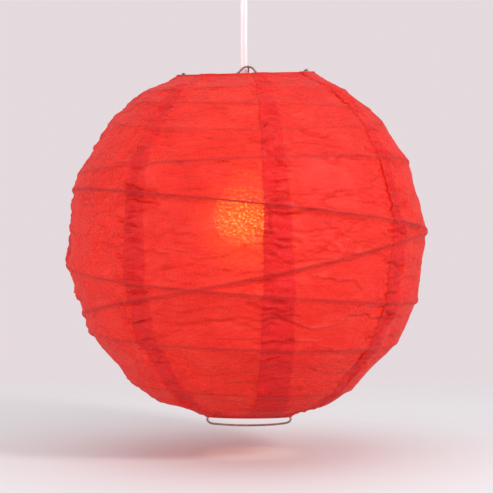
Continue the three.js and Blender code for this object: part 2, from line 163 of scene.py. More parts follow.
def tube(name, line, radius, closed=False, sides=10):
    """A round steel wire along a line, with rounded ends where it is open."""
    line = np.array(line, float)
    if closed:
        along = np.roll(line, -1, axis=0) - np.roll(line, 1, axis=0)
    else:
        along = np.gradient(line, axis=0)
    along /= np.linalg.norm(along, axis=1)[:, None]
    side = np.cross(along[0], (0.123, 0.456, 0.881))  # any direction that no wire here follows
    starts = []
    for direction in along:
        side = side - direction * (side @ direction)
        side /= np.linalg.norm(side)
        starts.append(side)
    twist = 0.0
    if closed:  # spread the twist that is left over the whole loop
        turn = np.cross(along[0], starts[0])
        first = starts[-1] - along[0] * (starts[-1] @ along[0])
        twist = math.atan2(first @ turn, first @ starts[0])
    points = []
    for i, (centre, direction, start) in enumerate(zip(line, along, starts)):
        other = np.cross(direction, start)
        for k in range(sides):
            angle = 2 * math.pi * k / sides - twist * i / len(line)
            points.append(centre + radius * (math.cos(angle) * start + math.sin(angle) * other))
    faces = grid_faces(len(line), sides, closed=True, looped=closed)
    if closed:
        return new_mesh(name, points, faces, "steel_wire")
    first = range(sides)[::-1]
    last = range(len(points) - sides, len(points))
    for centre, direction, ring in ((line[0], -along[0], first), (line[-1], along[-1], last)):
        inner = len(points)
        tip = inner + sides
        points += [centre + ROUND_END * (points[k] - centre + radius * direction) for k in ring]
        points.append(centre + radius * direction)
        for k in range(sides):
            n = (k + 1) % sides
            faces += [(ring[k], ring[n], inner + n, inner + k), (inner + k, inner + n, tip)]
    return new_mesh(name, points, faces, "steel_wire")


CORNER_SHARE = 0.35  # a rounded corner takes up this share of each edge beside it
CORNER_MOST = 1.2 * MM


def smooth_profile(profile, per_corner=4):
    """A profile with its corners rounded off: each becomes a short quadratic curve."""
    points = [np.array(p, float) for p in profile]
    out = [points[0]]
    for before, here, after in zip(points, points[1:], points[2:]):
        edges = [max(np.linalg.norm(other - here), 1e-9) for other in (before, after)]
        cut = min(CORNER_SHARE * edges[0], CORNER_SHARE * edges[1], CORNER_MOST)
        a = here + (before - here) / edges[0] * cut
        b = here + (after - here) / edges[1] * cut
        for t in np.linspace(0, 1, per_corner):
            out.append((1 - t) ** 2 * a + 2 * t * (1 - t) * here + t**2 * b)
    out.append(points[-1])
    return out


def lathe(name, profile, slot, sides=72, closed=True, rounded=True):
    """A turned piece from (radius, height) pairs in millimetres; closed joins the last one to the first."""
    outline = [np.array(p, float) * MM for p in profile]
    if closed:
        middle = (outline[0] + outline[-1]) / 2
        outline = [middle] + outline + [middle]
    if rounded:
        outline = smooth_profile(outline)
    if closed:
        outline = outline[:-1]
    points = []
    rings = []
    for reach, height in outline:
        count = 1 if reach < 1e-7 else sides  # one point on the axis stands for a whole ring
        rings.append([len(points) + k % count for k in range(sides)])
        angles = [2 * math.pi * k / sides for k in range(count)]
        points += [(reach * math.cos(a), reach * math.sin(a), height) for a in angles]
    if closed:
        rings.append(rings[0])
    faces = []
    for low, high in zip(rings, rings[1:]):
        for k in range(sides):
            n = (k + 1) % sides
            face = list(dict.fromkeys((low[k], low[n], high[n], high[k])))
            if len(face) > 2:
                faces.append(face)
    piece = new_mesh(name, points, faces, slot)
    mesh = piece.data
    volume = sum(mesh.vertices[p.vertices[0]].co.dot(p.normal) * p.area for p in mesh.polygons)
    if volume < 0:
        mesh.flip_normals()
    return piece


# ---- material helpers ----
def rgba(value):
    """A colour socket's value, from a grey level or from red, green and blue."""
    if isinstance(value, (int, float)):
        value = (value, value, value)
    return (*value, 1)


class Nodes:
    """A material's node tree, with short calls to add and link nodes."""

    def __init__(self, name):
        self.material = bpy.data.materials.new(name)
        self.material.use_nodes = True
        self.tree = self.material.node_tree
        self.tree.nodes.clear()
        self.output = self.tree.nodes.new("ShaderNodeOutputMaterial")

    def add(self, kind, inputs=None, **settings):
        """Add a node and give its outputs; inputs hold a value or another node's output each."""
        node = self.tree.nodes.new("ShaderNode" + kind)
        for name, value in settings.items():
            setattr(node, name, value)
        for key, value in (inputs or {}).items():
            socket = node.inputs[key]
            if isinstance(value, bpy.types.NodeSocket):
                self.tree.links.new(value, socket)
            else:
                socket.default_value = rgba(value) if socket.type == "RGBA" else value
        return node.outputs

    def place(self):
        """Where a point lies on its object, in metres."""
        return self.add("TexCoord")["Object"]

    def noise(self, where, scale, detail=2.0, roughness=0.5, stretch=(1, 1, 1)):
        mapped = self.add("Mapping", {0: where, "Scale": stretch})
        inputs = {"Vector": mapped[0], "Scale": scale, "Detail": detail, "Roughness": roughness}
        return self.add("TexNoise", inputs)["Fac"]

    def ramp(self, value, *stops):
        """Colours or grey levels along a value, from (position, colour) stops."""
        out = self.add("ValToRGB", {0: value})["Color"]
        elements = out.node.color_ramp.elements  # a new ramp has two
        for element, (position, colour) in zip(elements, (stops[0], stops[-1])):
            element.position = position
            element.color = rgba(colour)
        for position, colour in stops[1:-1]:
            elements.new(position).color = rgba(colour)
        return out

    def blend(self, share, first, second):
        """A mix of two colours."""
        inputs = {0: share, 6: first, 7: second}
        return self.add("Mix", inputs, data_type="RGBA")[2]

    def offset(self, where, scale, reach):
        """A small wandering shift, to keep a pattern's lines from being dead straight."""
        colour = self.add("TexNoise", {"Vector": where, "Scale": scale})["Color"]
        centred = self.add("VectorMath", {0: colour, 1: (0.5, 0.5, 0.5)}, operation="SUBTRACT")
        inputs = {0: centred[0], "Scale": reach}
        return self.add("VectorMath", inputs, operation="SCALE")[0]

    def creases(self, where, scale, stretch):
        """0 on a net of crease lines, 1 away from them; the lines fade out here and there."""
        mapped = self.add("Mapping", {0: where, "Scale": stretch})
        inputs = {"Vector": mapped[0], "Scale": scale}
        edge = self.add("TexVoronoi", inputs, feature="DISTANCE_TO_EDGE")["Distance"]
        line = self.ramp(edge, (0.0, 0.0), (0.05, 0.7), (0.16, 1.0))
        faded = self.ramp(self.noise(where, scale * 0.35, 2), (0.5, 1.0), (0.66, 0.0))
        return self.math("MAXIMUM", line, faded)

    def math(self, operation, a, b=0.0):
        return self.add("Math", {0: a, 1: b}, operation=operation)[0]

    def bump(self, height, strength, distance, normal=None):
        inputs = {"Height": height, "Strength": strength, "Distance": distance}
        if normal is not None:
            inputs["Normal"] = normal
        return self.add("Bump", inputs)[0]

    def mix(self, share, first, second):
        """A mix of two shaders."""
        return self.add("MixShader", {0: share, 1: first, 2: second})[0]

    def principled(self, inputs):
        return self.add("BsdfPrincipled", inputs)[0]

    def finish(self, shader):
        self.tree.links.new(shader, self.output.inputs["Surface"])
        return self.material


def moulded(name, colour, darker, roughness, bump=0.00004):
    """Moulded plastic or soft PVC: slight colour drift, fine surface texture, uneven gloss."""
    n = Nodes(name)
    where = n.place()
    tint = n.ramp(n.noise(where, 45, 3), (0.35, darker), (0.65, colour))
    gloss = n.ramp(n.noise(where, 220, 3), (0.3, roughness - 0.06), (0.7, roughness + 0.08))
    relief = n.bump(n.noise(where, 900, 2), 0.5, bump)
    return n.finish(n.principled({"Base Color": tint, "Roughness": gloss, "Normal": relief}))


def metal(name, colour, darker, roughness, stretch=(1, 1, 1)):
    """Metal with fine drawn or rolled lines and dull patches."""
    n = Nodes(name)
    where = n.place()
    tint = n.ramp(n.noise(where, 60, 4, 0.6), (0.3, darker), (0.62, colour))
    lines = n.noise(where, 300, 3, 0.6, stretch)
    gloss = n.ramp(lines, (0.3, roughness - 0.08), (0.7, roughness + 0.12))
    relief = n.bump(lines, 0.6, 0.00003)
    inputs = {"Base Color": tint, "Roughness": gloss, "Normal": relief, "Metallic": 1.0}
    return n.finish(n.principled(inputs))


# ---- paper material ----
def paper_relief(n, uv):
    """The paper's bump, from coarse to fine: soft folds, two nets of creases, crinkles and crepe."""
    bent = n.add("VectorMath", {0: uv, 1: n.offset(uv, 40, 0.004)}, operation="ADD")[0]
    folds = n.math("ABSOLUTE", n.math("SUBTRACT", n.noise(bent, 26, 3, 0.6, (0.4, 1.0, 1)), 0.5))
    relief = n.bump(n.math("MINIMUM", folds, 0.06), 1.0, 0.025)
    relief = n.bump(n.creases(bent, 62, (0.55, 1.0, 1)), 0.15, 0.0010, relief)
    relief = n.bump(n.creases(bent, 150, (0.5, 1.0, 1)), 0.15, 0.0005, relief)
    relief = n.bump(n.noise(uv, 95, 4, 0.65, (0.5, 1.0, 1)), 0.5, 0.0010, relief)
    return n.bump(n.noise(uv, 330, 3, 0.6, (0.22, 1.0, 1)), 0.5, 0.0003, relief)


def paper_material():
    """Dyed mulberry paper: fibres and creases, lit from both sides, a little see-through where it is thin.

    It is darker where a second layer lies behind, partly that layer's deeper colour and partly painted shade,
    and painted shadows of the ribs and of the gores' cut edges lie on it, as the mesh's attributes say.
    """
    n = Nodes("red_paper")
    uv = n.add("UVMap", uv_map="flat")[0]
    mottle = n.noise(uv, 28, 5, 0.62, (1.0, 1.6, 1))
    fibres = n.noise(uv, 260, 4, 0.7, (0.45, 1.3, 1))
    blotch = n.math("ADD", n.math("MULTIPLY", mottle, 0.5), n.math("MULTIPLY", fibres, 0.5))
    low, middle, high = 0.36, 0.5, 0.64  # the blotches stay about within these
    single = n.ramp(
        blotch, (low, (0.80, 0.013, 0.008)), (middle, (0.88, 0.022, 0.014)), (high, (0.93, 0.048, 0.034))
    )
    # the overlaps' darker red: partly two layers' deeper colour, partly painted shade where less lamplight
    # comes through
    layers_shaded_red = n.ramp(blotch, (low, (0.69, 0.003, 0.007)), (high, (0.84, 0.006, 0.013)))
    through = n.ramp(
        blotch, (low, (0.82, 0.050, 0.018)), (middle, (0.97, 0.085, 0.026)), (high, (1.0, 0.14, 0.04))
    )
    layer_shade = n.add("Attribute", attribute_name="layer_shade")["Fac"]
    # the 'wire' attribute holds painted shadows of the ribs and of the gores' cut edges
    wire = n.add("Attribute", attribute_name="wire")["Fac"]
    # darkens the overlaps, partly with painted shade
    base = n.blend(n.math("MULTIPLY", layer_shade, 0.8), single, layers_shaded_red)
    # painted shadow: dark red where the ribs and cut edges shade the paper
    base = n.blend(n.math("MULTIPLY", wire, 0.7), base, (0.42, 0.008, 0.012))
    relief = paper_relief(n, uv)
    front = n.principled({
        "Base Color": base,
        "Roughness": n.ramp(fibres, (0.3, 0.48), (0.7, 0.7)),
        "Normal": relief,
        "Specular IOR Level": 0.45,
        "Sheen Weight": 0.08,
        "Sheen Roughness": 0.5,
        "Sheen Tint": (1.0, 0.5, 0.45),
    })
    back = n.add("BsdfTranslucent", {"Color": through, "Normal": relief})[0]
    body = n.mix(0.29, front, back)
    inputs = {"Color": (1.0, 0.20, 0.02), "Roughness": 0.82, "IOR": 1.3}
    blur = n.add("BsdfRefraction", inputs)[0]
    thin = n.ramp(n.noise(uv, 420, 3, 0.7, (0.7, 1.0, 1)), (0.38, 0.07), (0.64, 0.27))
    pinholes = n.ramp(n.noise(uv, 620, 2, 0.6, (0.8, 1.0, 1)), (0.52, 0.0), (0.57, 0.05), (0.64, 0.17))
    clear = n.add("BsdfTransparent", {"Color": (1.0, 0.50, 0.10)})[0]
    return n.finish(n.mix(pinholes, n.mix(thin, body, blur), clear))


# ---- lit bulb materials ----
LAMP_STRENGTH = 12.0
HOT_SPOT_Z = -302 * MM  # the filament's glow on the pearl glass
GLOW_FADES = 40 * MM  # the glass is dim this far above and below the hot spot
GLOW_WARMS = 45 * MM  # and its light is at its warmest this far away


def lit_glass():
    """Pearl glass over a hot filament: brightest at the filament's height, warmer away from it."""
    n = Nodes("bulb_glass")
    where = n.place()
    height = n.add("SeparateXYZ", {0: where})["Z"]
    away = n.math("ABSOLUTE", n.math("SUBTRACT", height, HOT_SPOT_Z))
    warm = n.ramp(n.math("DIVIDE", away, GLOW_WARMS), (0.0, (1.0, 0.78, 0.50)), (1.0, (1.0, 0.60, 0.36)))
    hot = n.ramp(n.math("DIVIDE", away, GLOW_FADES), (0.0, 1.0), (0.35, 0.65), (0.9, 0.14))
    facing = n.add("LayerWeight", {"Blend": 0.35})["Facing"]
    edge = n.ramp(facing, (0.0, 1.0), (0.35, 0.55), (0.9, 0.08))
    glow = n.math("MULTIPLY", n.math("MULTIPLY", edge, hot), LAMP_STRENGTH)
    frost = n.math("ADD", n.math("MULTIPLY", n.noise(where, 420, 3), 0.3), 0.85)
    return n.finish(n.principled({
        "Base Color": (1.0, 0.94, 0.85),
        "Roughness": 0.25,
        "Emission Color": warm,
        "Emission Strength": n.math("MULTIPLY", glow, frost),
    }))


def stem_glass():
    n = Nodes("stem_glass")
    gloss = n.ramp(n.noise(n.place(), 300, 2), (0.3, 0.03), (0.7, 0.10))
    inputs = {"Base Color": (0.93, 0.97, 0.95), "Roughness": gloss, "Transmission Weight": 0.9}
    return n.finish(n.principled(inputs))


def hot_filament():
    n = Nodes("filament")
    glow = n.ramp(n.noise(n.place(), 300, 2), (0.3, (1.0, 0.55, 0.2)), (0.7, (1.0, 0.78, 0.45)))
    return n.finish(n.principled({
        "Base Color": (0.5, 0.4, 0.3),
        "Metallic": 1.0,
        "Emission Color": glow,
        "Emission Strength": 20.0,
    }))


# ---- each slot's material, put on the frame's pieces ----
MATERIALS = {
    "red_paper": paper_material(),
    "steel_wire": metal("steel_wire", (0.42, 0.385, 0.36), (0.20, 0.165, 0.14), 0.38),
    "white_cord": moulded("white_cord", (0.93, 0.92, 0.94), (0.88, 0.87, 0.90), 0.42),
    "white_plastic": moulded("white_plastic", (0.87, 0.86, 0.83), (0.82, 0.81, 0.78), 0.32),
    "brown_core": moulded("brown_core", (0.20, 0.08, 0.035), (0.15, 0.055, 0.025), 0.45),
    "blue_core": moulded("blue_core", (0.03, 0.14, 0.5), (0.02, 0.10, 0.38), 0.45),
    "insulator": moulded("insulator", (0.74, 0.70, 0.62), (0.60, 0.56, 0.48), 0.7, 0.00012),
    "black_insulator": moulded("black_insulator", (0.02, 0.02, 0.022), (0.012, 0.012, 0.012), 0.2),
    "brass": metal("brass", (0.78, 0.56, 0.24), (0.52, 0.34, 0.12), 0.28),
    "screw_steel": metal("screw_steel", (0.66, 0.66, 0.68), (0.45, 0.44, 0.44), 0.3),
    "bulb_cap": metal("bulb_cap", (0.72, 0.72, 0.73), (0.5, 0.5, 0.5), 0.3, (0.3, 0.3, 2.5)),
    "bulb_glass": lit_glass(),
    "stem_glass": stem_glass(),
    "filament": hot_filament(),
}

for row in frame["record"]["subparts"]:
    materials = frame["nodes"][row["node"]].data.materials
    materials.clear()
    materials.append(MATERIALS[row["material_slot"]])


# ---- pendant cord: a taut flat twin flex from the rose's outlet into the lampholder ----
CORD_WIDTH = 7.0 * MM
CORD_THICK = 3.5 * MM
CORD_TWIST = math.radians(-28)  # the flat cord is turned this far halfway between its ends
CORD_END = 0.9  # its cut ends narrow to this share
CORD_TOP_Z = -52 * MM
CORD_LENGTH = 134 * MM
CORD_ROUTE = [(0.0, 0.0, CORD_TOP_Z - CORD_LENGTH * i / 20) for i in range(21)]
LOBE_ARC = 1.296 * math.pi  # how much of its circle each half of the flat cord shows


def twin_section(width, thick, per_lobe=11):
    """Two round lobes side by side with a groove between them."""
    lobe = thick / 2
    side = width / 2 - lobe
    section = []
    for sign, turn in ((1, 0), (-1, math.pi)):
        for i in range(per_lobe):
            angle = (i / (per_lobe - 1) - 0.5) * LOBE_ARC + turn
            section.append((sign * side + lobe * math.cos(angle), lobe * math.sin(angle)))
        section.append((0.12 * lobe * sign, sign * lobe * 0.62))
        section.append((-0.12 * lobe * sign, sign * lobe * 0.62))
    return section


def make_cord():
    section = twin_section(CORD_WIDTH, CORD_THICK)
    end = len(CORD_ROUTE) - 1
    points = []
    for i, (x, y, z) in enumerate(CORD_ROUTE):
        inset = CORD_END if i in (0, end) else 1.0
        turn = CORD_TWIST * math.sin(math.pi * i / end) ** 2
        for sx, sy in section:
            across = sx * math.cos(turn) - sy * math.sin(turn)
            deep = sx * math.sin(turn) + sy * math.cos(turn)
            points.append((x + across * inset, y + deep * inset, z))
    faces = grid_faces(len(CORD_ROUTE), len(section), closed=True)
    last = end * len(section)
    faces.append(tuple(range(len(section))))
    faces.append(tuple(reversed(range(last, last + len(section)))))
    cord = new_mesh("pendant_flex", points, faces, "white_cord")
    cord.data.flip_normals()
    fit(cord, "pendant", "white_cord", "pendant_cord")


make_cord()


# ---- the wire hoops, measured from their CAD nodes ----
HARMONICS = 5


def harmonics(azimuth):
    azimuth = np.asarray(azimuth, float)
    waves = [wave(k * azimuth) for k in range(1, HARMONICS + 1) for wave in (np.sin, np.cos)]
    return np.stack([np.ones_like(azimuth), *waves], axis=-1)


def ring_points(middle, reach, azimuth, height):
    """Points by azimuth and reach round a middle."""
    x = middle[0] + reach * np.sin(azimuth)
    return np.stack([x, middle[1] - reach * np.cos(azimuth), height + 0 * azimuth], axis=1)


def turns(count):
    """Azimuths evenly spread round a whole turn."""
    return np.arange(count) * 2 * math.pi / count


class Hoop:
    """A smooth closed curve through the middle of a CAD hoop, by azimuth round a given middle."""

    def __init__(self, node, middle=None):
        corners = np.array([v.co for v in frame["nodes"][node].data.vertices], float)
        x, y, z = np.unique(np.round(corners, 6), axis=0).T  # each corner once, so the wire's rings even out
        low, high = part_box(node)
        self.middle = np.array(middle or [(low.x + high.x) / 2, (low.y + high.y) / 2])
        azimuth = np.arctan2(x - self.middle[0], -(y - self.middle[1]))
        reach = np.hypot(x - self.middle[0], y - self.middle[1])
        self.reach_terms = np.linalg.lstsq(harmonics(azimuth), reach, rcond=None)[0]
        self.height_terms = np.linalg.lstsq(harmonics(azimuth), z, rcond=None)[0]

    def reach(self, azimuth):
        return harmonics(azimuth) @ self.reach_terms

    def height(self, azimuth):
        return harmonics(azimuth) @ self.height_terms

    def line(self, count):
        azimuth = turns(count)
        return ring_points(self.middle, self.reach(azimuth), azimuth, self.height(azimuth))


TOP_RIM = Hoop("top_ring")
BOTTOM_RIM = Hoop("bottom_ring")
RIBS = [Hoop(node, (CENTRE.x, CENTRE.y)) for node in RIB_NODES]


def make_hoop(name, hoop, radius, sides, body):
    """A hoop's wire, riding on its body."""
    wire = tube(f"{name}_wire", hoop.line(160), radius, closed=True, sides=sides)
    fit(wire, body, "steel_wire", name)
    if body == "shade":
        fold_with_shade(wire)


def make_hoops():
    for name, hoop in zip(RIB_NODES, RIBS):
        make_hoop(name, hoop, RIB_WIRE_R, 8, "shade")
    make_hoop("top_ring", TOP_RIM, RIM_WIRE_R, 10, "shade")
    make_hoop("bottom_ring", BOTTOM_RIM, RIM_WIRE_R, 10, "bottom_ring")


make_hoops()


# ---- paper ----
GORES = 8
SEAM_DEG = 5.0  # the left edge of the front overlap
SEAM_WIDTH_MM = [  # each overlap's width at the top rim, the middle and the bottom rim
    (11, 27, 34), (13, 22, 17), (12, 24, 20), (14, 21, 19),
    (11, 25, 22), (13, 20, 18), (12, 26, 19), (13, 24, 18),
]
SEAM_STEP_DEG = 360 / GORES
OVERLAP_COLUMNS = 20
COLUMNS = 84
ROWS = 320
RIM_POLARS = (0.39, 2.88)  # about where the two rims lie, as angles from straight up
EDGE_PAINTED_SHADOW = 0.45  # how dark the painted shadow along a gore's cut and glued edge is
EDGE_STEP = 0.15 * MM  # the second layer ends this sharply
EDGE_LOOSE = 1.3 * MM  # how far the cut edge stands off at most
HEM_ROWS = 8
HEM_R = 1.4 * MM
HEM_FLAP = 2.2 * MM
HEM_STEP = 0.4 * HEM_R  # about the flat paper between two of the hem's rows
BAND_LEAN = 2.4  # the hem round the bottom ring leans out this much for each millimetre up, as the gores do
BAND_INSIDE = 0.5 * MM
LAYER_GAP = 0.45 * MM
PAPER_ON_RIB = 0.45 * MM
SAG_SHARE = 0.025  # the paper sags between wires by this share of the gap
STEEPEST = 0.2  # and it falls from a wire to a deeper one at this slope at most
TUCK_MM = [0.3, 0.5, 0.2, 1.0, 2.2, 1.9, 1.2, 0.9, 0.4, 0.4]  # how far the paper draws in below each rib
TUCK_START = 1.3 * MM
TUCK_WIDTH = 3.2 * MM
RIB_SHADOW = 1.3 * MM
RIB_PAINTED_SHADOW = [0.05, 0.15, 0.1, 0.35, 0.9, 0.75, 0.5, 0.25, 0.1, 0.05]  # how dark each rib's painted shadow on the paper is
LAYER_SHADE_DOWN = ([0, 0.2, 0.4, 0.7, 1], [0.2, 0.35, 0.7, 0.85, 1])  # how much the overlaps are darkened, more lower down: partly two layers' deeper colour, partly painted shade where less lamplight comes through
AROUND = 2 * math.pi * PAPER_R
DOWN = math.pi * PAPER_R
PATTERN_STEP = 0.31  # each gore takes its paper pattern this much further on
RIM_SHARE = 0.05  # the gores' ends turn round the rims' own middles over this share of the way down

HASH_PRIMES = np.array([374761393, 668265263, 974634777])


def lattice_noise(p, seed):
    """Smooth noise from -1 to 1 at points p, with a random value at each whole-number corner."""
    cell = np.floor(p).astype(np.int64)
    part = p - cell
    part = part * part * (3 - 2 * part)
    total = np.zeros(len(p))
    for corner in range(8):
        step = np.array([corner & 1, corner >> 1 & 1, corner >> 2 & 1])
        c = cell + step
        h = (c @ HASH_PRIMES + seed * 144269504) & 0xFFFFFFFF
        h = ((h ^ (h >> 13)) * 1274126177) & 0xFFFFFFFF
        value = ((h ^ (h >> 16)) & 0xFFFF) / 32767.5 - 1
        total += value * np.prod(np.where(step == 1, part, 1 - part), axis=1)
    return total


class Crumple:
    """Flat facets between random points on the unrolled shade, so straight creases run between them."""

    MARGIN = 3  # the pattern is repeated for this many cells past its ends

    def __init__(self, wide, tall, seed):
        draw = np.random.RandomState(seed)
        self.columns = int(round(AROUND / wide))
        self.scale = np.array([self.columns / AROUND, 1 / tall])
        rows = np.arange(-1, int(round(DOWN / tall)) + 2)
        i, j = np.meshgrid(np.arange(self.columns), rows, indexing="ij")
        base = np.stack([i.ravel(), j.ravel()], axis=1) + draw.uniform(-0.48, 0.48, (i.size, 2))
        heights = np.tile(draw.uniform(-1, 1, i.size), 3)
        points = np.concatenate([base + (turn * self.columns, 0) for turn in (0, -1, 1)])
        near = (points[:, 0] > -self.MARGIN) & (points[:, 0] < self.columns + self.MARGIN)
        points = points[near]
        heights = heights[near]
        flat, _, triangles, origins, _, _ = delaunay_2d_cdt([Vector(p) for p in points], [], [], 0, 1e-7)
        lifted = [Vector((p.x, p.y, heights[source[0]])) for p, source in zip(flat, origins)]
        self.tree = BVHTree.FromPolygons(lifted, triangles)

    def __call__(self, around, down):
        u = np.mod(around * self.scale[0], self.columns)
        v = down * self.scale[1]
        below = Vector((0, 0, -1))
        out = np.empty(len(u))
        for k in range(len(u)):
            hit = self.tree.ray_cast(Vector((u[k], v[k], 5.0)), below)[0]
            out[k] = hit.z if hit else 0.0
        return out


FACETS = Crumple(21 * MM, 12 * MM, 3)
SMALL_FACETS = Crumple(9 * MM, 4.5 * MM, 5)
SEAM_FACETS = Crumple(15 * MM, 4.2 * MM, 7)

# Single folds: azimuth and polar angle of both ends in degrees, depth and width in millimetres.
FOLDS = [
    (-43.4, 109.0, -41.0, 121.0, 3.2, 2.4), (-46.5, 56.5, -43.0, 53.0, 2.2, 2.0),
    (-43.0, 83.5, -35.8, 82.5, 2.2, 2.0), (-42.5, 88.0, -36.5, 85.0, 1.8, 2.0),
    (-42.0, 94.5, -36.0, 95.5, 1.6, 2.2), (6.2, 80.0, 7.0, 87.0, 1.6, 1.8),
    (6.0, 91.0, 13.5, 91.8, 2.2, 2.0), (6.6, 63.8, 11.6, 67.8, 2.0, 1.8),
    (57.3, 96.5, 57.8, 100.5, 2.4, 1.4), (53.0, 70.5, 61.0, 74.5, 1.6, 2.2),
    (19.8, 94.5, 28.5, 88.4, 1.4, 1.8), (28.5, 88.4, 31.5, 86.6, 1.2, 1.6),
    (-28.5, 89.5, -17.2, 83.8, 1.2, 1.8), (-30.0, 93.0, -26.0, 86.5, 1.0, 1.8),
    (57.5, 131.5, 55.0, 139.0, 2.4, 2.2), (-6.2, 94.8, -1.0, 91.8, 1.0, 1.6),
    (-37.0, 124.0, -24.5, 127.0, 1.3, 1.8), (-37.0, 124.0, -28.0, 130.0, 1.0, 1.8),
    (8.2, 111.6, 16.0, 112.2, 1.6, 1.8), (-23.0, 115.5, 1.0, 112.5, 1.1, 1.8),
    (13.0, 66.0, 27.0, 62.8, 1.0, 1.6), (15.0, 59.6, 33.0, 58.0, 1.0, 1.4),
    (14.5, 87.5, 27.0, 86.4, 1.0, 1.8),
]


PUCKER_DEPTH = (1.6, 1.5, 0.6, 1.0, 1.0, 1.0, 0.6, 1.5)  # how hard each overlap is drawn together


def seam_puckers():
    """Short folds where the glue has drawn each overlap together, in the same form as FOLDS."""
    draw = np.random.RandomState(11)
    puckers = []
    for index in range(GORES):
        polar = 30.0
        while polar < 152.0:
            polar += draw.uniform(1.6, 4.2)
            start = SEAM_DEG + SEAM_STEP_DEG * index - draw.uniform(-2.0, 4.5)
            end = start + draw.uniform(4.0, 12.5)
            tilt = draw.uniform(-2.4, 2.4)
            depth = draw.uniform(0.4, 1.0) * draw.choice([0.5, 1.2, 2.1]) * PUCKER_DEPTH[index]
            start, end = [(a + 180) % 360 - 180 for a in (start, end)]
            if start < end:
                puckers.append((start, polar, end, polar + tilt, depth, draw.uniform(1.5, 2.4)))
    return puckers


ALL_FOLDS = FOLDS + seam_puckers()
MM_PER_DEGREE = math.radians(1) * PAPER_R / MM


def fold_lines(azimuth, polar):
    """The single folds: a groove with a low ridge beside it, along a slightly wavy line."""
    total = np.zeros(len(azimuth))
    degrees = np.mod(np.degrees(azimuth) + 180, 360) - 180
    down = np.degrees(polar) * MM_PER_DEGREE
    for az1, po1, az2, po2, depth, width in ALL_FOLDS:
        across_mm = MM_PER_DEGREE * math.sin(math.radians((po1 + po2) / 2))
        dx = (az2 - az1) * across_mm
        dy = (po2 - po1) * MM_PER_DEGREE
        length = math.hypot(dx, dy)
        dx, dy = dx / length, dy / length
        px = (degrees - az1) * across_mm
        py = down - po1 * MM_PER_DEGREE
        along = px * dx + py * dy
        off = -px * dy + py * dx + 0.8 * np.sin(along / 3.1 + az1)
        outside = np.maximum(np.maximum(-along, along - length), 0)
        window = np.exp(-((outside / 3.0) ** 2))
        narrow = width * (0.75 + 0.25 * np.cos(along / 4.7))
        groove = np.exp(-((off / narrow) ** 2))
        ridge = np.exp(-(((off + 1.8 * narrow) / (1.2 * narrow)) ** 2))
        total += depth * MM * window * (0.55 * ridge - groove)
    return total


def seam_left(index, share):
    """Azimuth of an overlap's left edge, by share of the way down."""
    drift = -3.5 * np.clip((share - 0.84) / 0.16, 0, 1) ** 1.5
    wander = 0.5 * np.sin(5 * share + 1.7 * index) * (index % GORES != 0)
    ragged = 0.12 * np.sin(37 * share + index) + 0.08 * np.sin(91 * share + 2.3 * index)
    return np.radians(SEAM_DEG + SEAM_STEP_DEG * index + drift + wander + ragged)


def seam_angle(index, share, reach):
    """How far round an overlap reaches at that share of the way down."""
    top, middle, bottom = SEAM_WIDTH_MM[index % GORES]
    width = np.interp(share, [0, 0.5, 1], [top, middle, bottom]) * MM
    return width / reach


def rim_edge(hoop, azimuth, side):
    """Where the paper leaves its hem on a rim wire: reach and height relative to the shade's middle."""
    reach = hoop.reach(azimuth) + HEM_R
    return reach, hoop.height(azimuth) - CENTRE.z - side * 0.2 * MM


def chord(r1, r2, over, left):
    """The reach of a straight line between two points, at angles over and left from them."""
    ends = r1 * np.sin(over) + r2 * np.sin(left)
    return r1 * r2 * np.sin(over + left) / np.maximum(ends, 1e-9)


def pull_over(polars, reaches):
    """Lift wires' reaches, sorted down the shade, to where pulled paper passes over them."""
    lifted = reaches.copy()
    for k in range(len(polars)):  # paper can't fall steeply from one wire to a deeper one beside it
        for j in range(max(0, k - 2), min(len(polars), k + 3)):
            fall = STEEPEST * PAPER_R * np.abs(polars[k] - polars[j])
            lifted[k] = np.maximum(lifted[k], reaches[j] - fall)
    reaches[1:-1] = lifted[1:-1]
    for k in range(1, len(polars) - 1):  # and it bridges a rib that lies too deep to reach it
        over = polars[k] - polars[k - 1]
        left = polars[k + 1] - polars[k]
        straight = chord(reaches[k - 1], reaches[k + 1], over, left)
        reaches[k] = np.maximum(reaches[k], np.where(over + left > 0.02, straight, 0))


